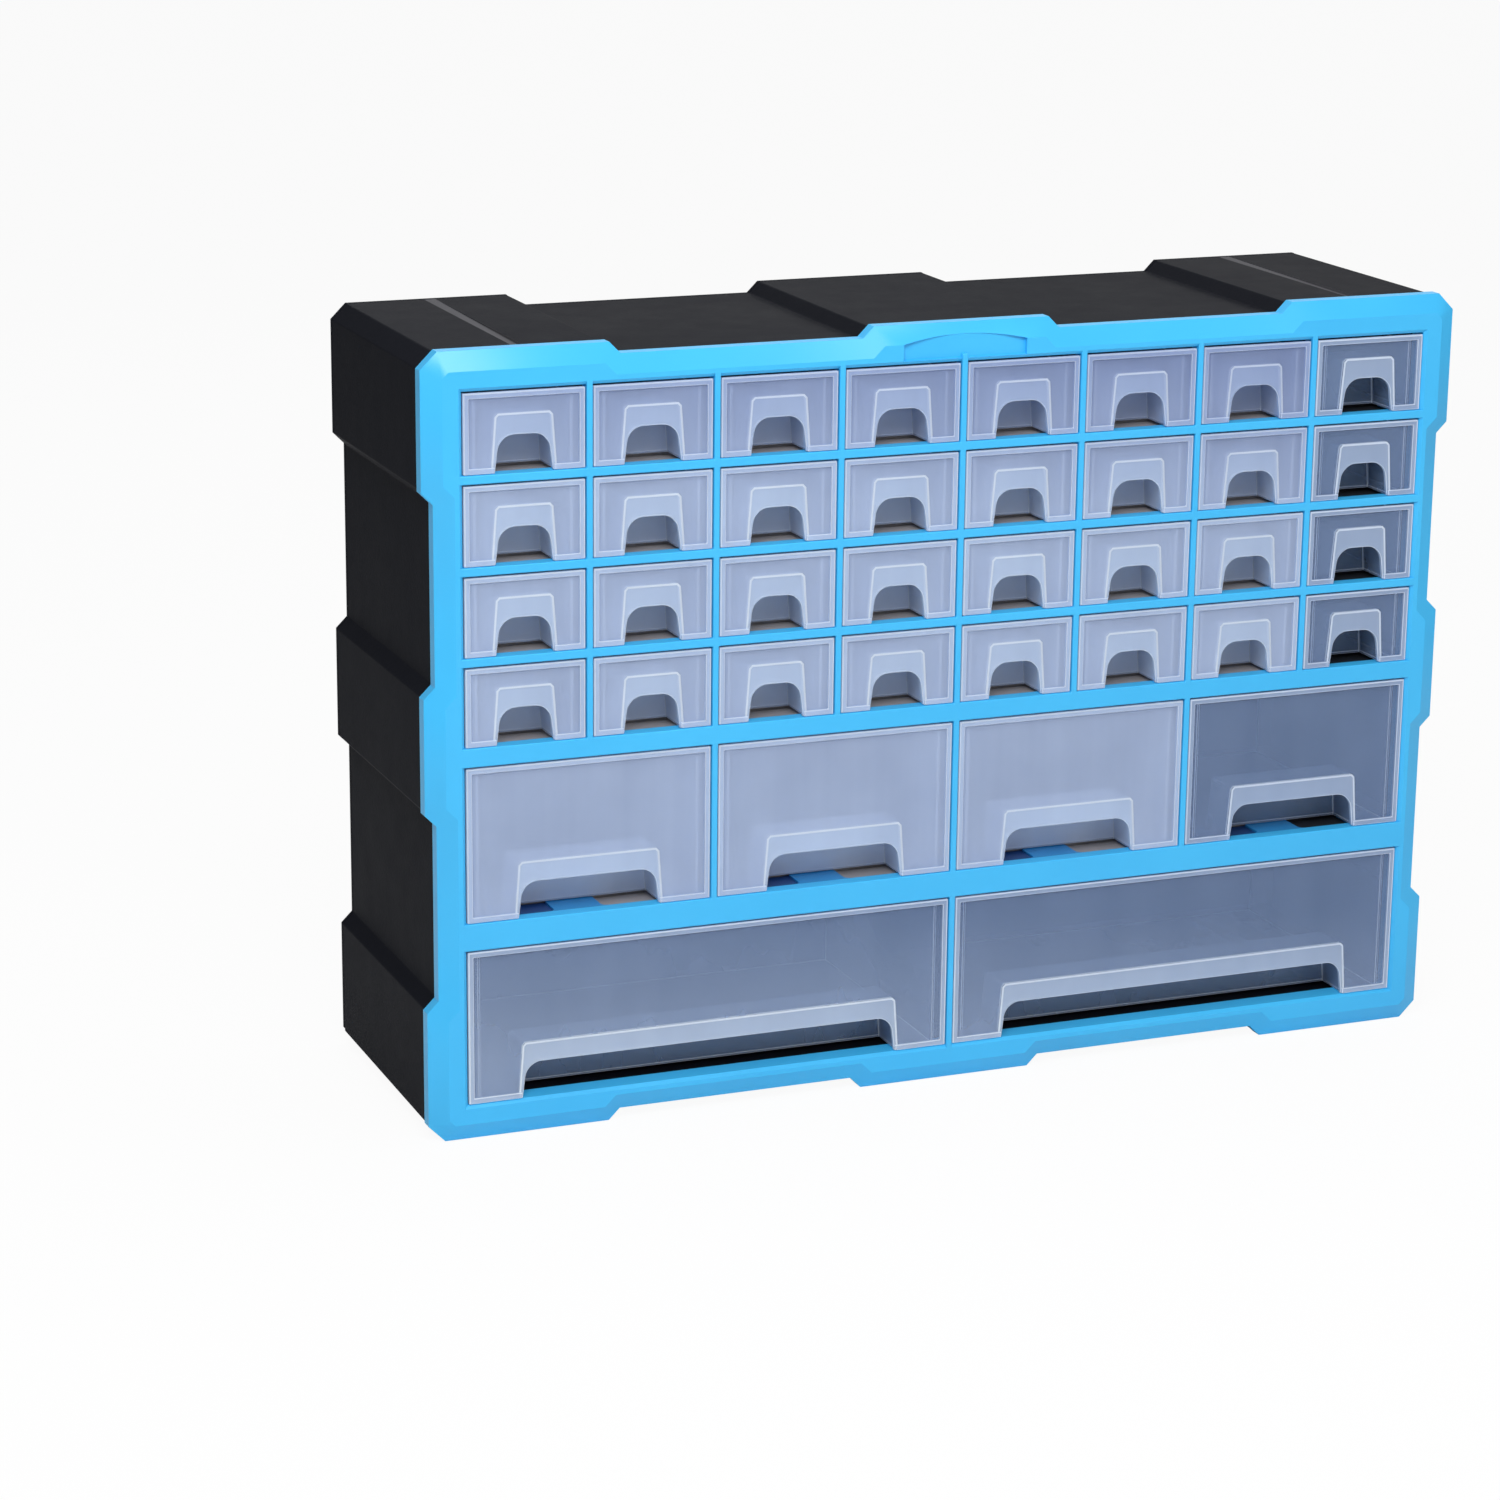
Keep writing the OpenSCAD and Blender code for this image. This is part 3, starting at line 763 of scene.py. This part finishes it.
def front_rim(width, height, arch_x):
    """The raised rim round the front, open over the arch, with a painted highlight on its outer
    edges.
    """
    rim = bmesh.new()
    right = width / 2 + hair
    top = height + hair
    face = outline_face(rim, [(-right, -hair), (right, -hair), (right, top), (-right, top)],
                        rim_from)
    bmesh.ops.inset_region(rim, faces=[face], thickness=rim_w, use_boundary=True,
                           use_even_offset=True)
    bmesh.ops.delete(rim, geom=[face], context="FACES")
    for side in (-1, 1):
        sliced(rim, rim.faces[:], (side * (arch_x + rim_clear), 0, 0), (1, 0, 0))
    over_arch = [f for f in rim.faces if f.calc_center_median().z < rim_w
                 and abs(f.calc_center_median().x) < arch_x]
    bmesh.ops.delete(rim, geom=over_arch, context="FACES")
    extruded(rim, rim.faces[:], (0, -rim_rise, 0))
    line_x = width / 2 - rim_line
    line_z = height - rim_line
    for place, normal in (((line_x, 0, 0), (1, 0, 0)), ((-line_x, 0, 0), (1, 0, 0)),
                          ((0, 0, line_z), (0, 0, 1))):
        sliced(rim, rim.faces[:], place, normal)
    for one in rim.faces:
        middle = one.calc_center_median()
        if abs(middle.x) > line_x or middle.z > line_z:
            one.material_index = painted_highlight_edges
    return rim


def floor_faces(tub):
    return [f for f in tub.faces if f.normal.z < -0.9]


def open_tub(width, height, pocket_w):
    """The thin box behind the front, without a lid and with the pocket's hole in its floor."""
    tub = bmesh.new()
    tub_h = height - tub_drop
    tub_front = front_t - lap
    bmesh.ops.create_cube(tub, size=1, matrix=Matrix.Translation(
        (0, (tub_front + tub_back) / 2, hair + tub_h / 2))
        @ Matrix.Diagonal((width - 2 * tub_inset, tub_back - tub_front, tub_h, 1)))
    lid_and_front = [f for f in tub.faces if f.normal.z > 0.9 or f.normal.y < -0.9]
    bmesh.ops.delete(tub, geom=lid_and_front, context="FACES")
    hole_x = pocket_w / 2 - skin - 3 * hair
    hole_y = front_t + pocket_depth - skin - 3 * hair
    for place, normal in (((hole_x, 0, 0), (1, 0, 0)), ((-hole_x, 0, 0), (1, 0, 0)),
                          ((0, hole_y, 0), (0, 1, 0))):
        sliced(tub, floor_faces(tub), place, normal)
    hole = [f for f in floor_faces(tub) if abs(f.calc_center_median().x) < hole_x
            and f.calc_center_median().y < hole_y]
    bmesh.ops.delete(tub, geom=hole, context="FACES")
    bmesh.ops.solidify(tub, geom=tub.faces[:], thickness=skin)
    return tub


def pocket_hood(pocket_w):
    """The finger pocket behind the arch: two sides, a back and a roof with rounded edges."""
    hood = bmesh.new()
    wide = pocket_w / 2
    face = outline_face(hood, [(-wide, lap), (-wide + taper, pocket_h),
                               (wide - taper, pocket_h), (wide, lap)], front_t + pocket_depth)
    extruded(hood, [face], (0, -pocket_depth - pocket_lap, 0))
    open_sides = [f for f in hood.faces if f.normal.y < -0.9 or f.normal.z < -0.9]
    bmesh.ops.delete(hood, geom=open_sides, context="FACES")
    crown = [e for e in hood.edges
             if len(e.link_faces) == 2 and min(v.co.z for v in e.verts) > pocket_h / 2]
    bmesh.ops.bevel(hood, geom=crown, offset=pocket_corner, segments=4, profile=0.5,
                    affect="EDGES", material=-1)
    bmesh.ops.solidify(hood, geom=hood.faces[:], thickness=skin)
    return hood


def drawer_mesh(name, row, pocket_w):
    low, high, span = row
    width = span * pitch - bar - drawer_gap
    height = high - low - drawer_gap
    arch_x = pocket_w / 2 - taper
    whole = bmesh.new()
    joined(whole, front_plate(width, height, pocket_w, arch_x), walls)
    joined(whole, front_rim(width, height, arch_x), rims)
    joined(whole, open_tub(width, height, pocket_w), walls)
    joined(whole, pocket_hood(pocket_w), pockets)
    bmesh.ops.recalc_face_normals(whole, faces=whole.faces)
    for one in whole.faces:
        one.smooth = True
    data = bpy.data.meshes.new(name)
    whole.to_mesh(data)
    whole.free()
    return data


def placed_drawer(shape, name, row, n, finishes):
    """A drawer in its opening, the nth of its row from the left."""
    low, high, span = row
    data = shape.copy()
    for finish in finishes:
        data.materials.append(finish)
    data.name = name
    data.transform(Matrix.Translation((bar_x((n + 0.5) * span), drawer_y, low + drawer_lift)))
    piece = bpy.data.objects.new(name + "_moulding", data)
    bpy.context.scene.collection.objects.link(piece)
    # The rounded edges take the paler edge finish: painted highlight.
    rounded(piece, 0.35 * mm, 2, material=painted_highlight_edges)
    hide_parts(name)
    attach(piece, name)


small = drawer_mesh("small_drawer", small_rows[0], 31 * mm)
medium = drawer_mesh("medium_drawer", medium_row, 72 * mm)
large = drawer_mesh("large_drawer", large_row, 191 * mm)
for level, row in enumerate(small_rows):
    for n in range(8):
        placed_drawer(small, f"small_drawer_r{4 - level}_c{n + 1}", row, n,
                      pale_set if n < 7 else painted_shade_set)
for n in range(4):
    placed_drawer(medium, f"medium_drawer_{n + 1}", medium_row, n,
                  pale_set if n < 3 else painted_shade_set)
for n in range(2):
    placed_drawer(large, f"large_drawer_{n + 1}", large_row, n, painted_shade_set)
for shape in (small, medium, large):
    bpy.data.meshes.remove(shape)
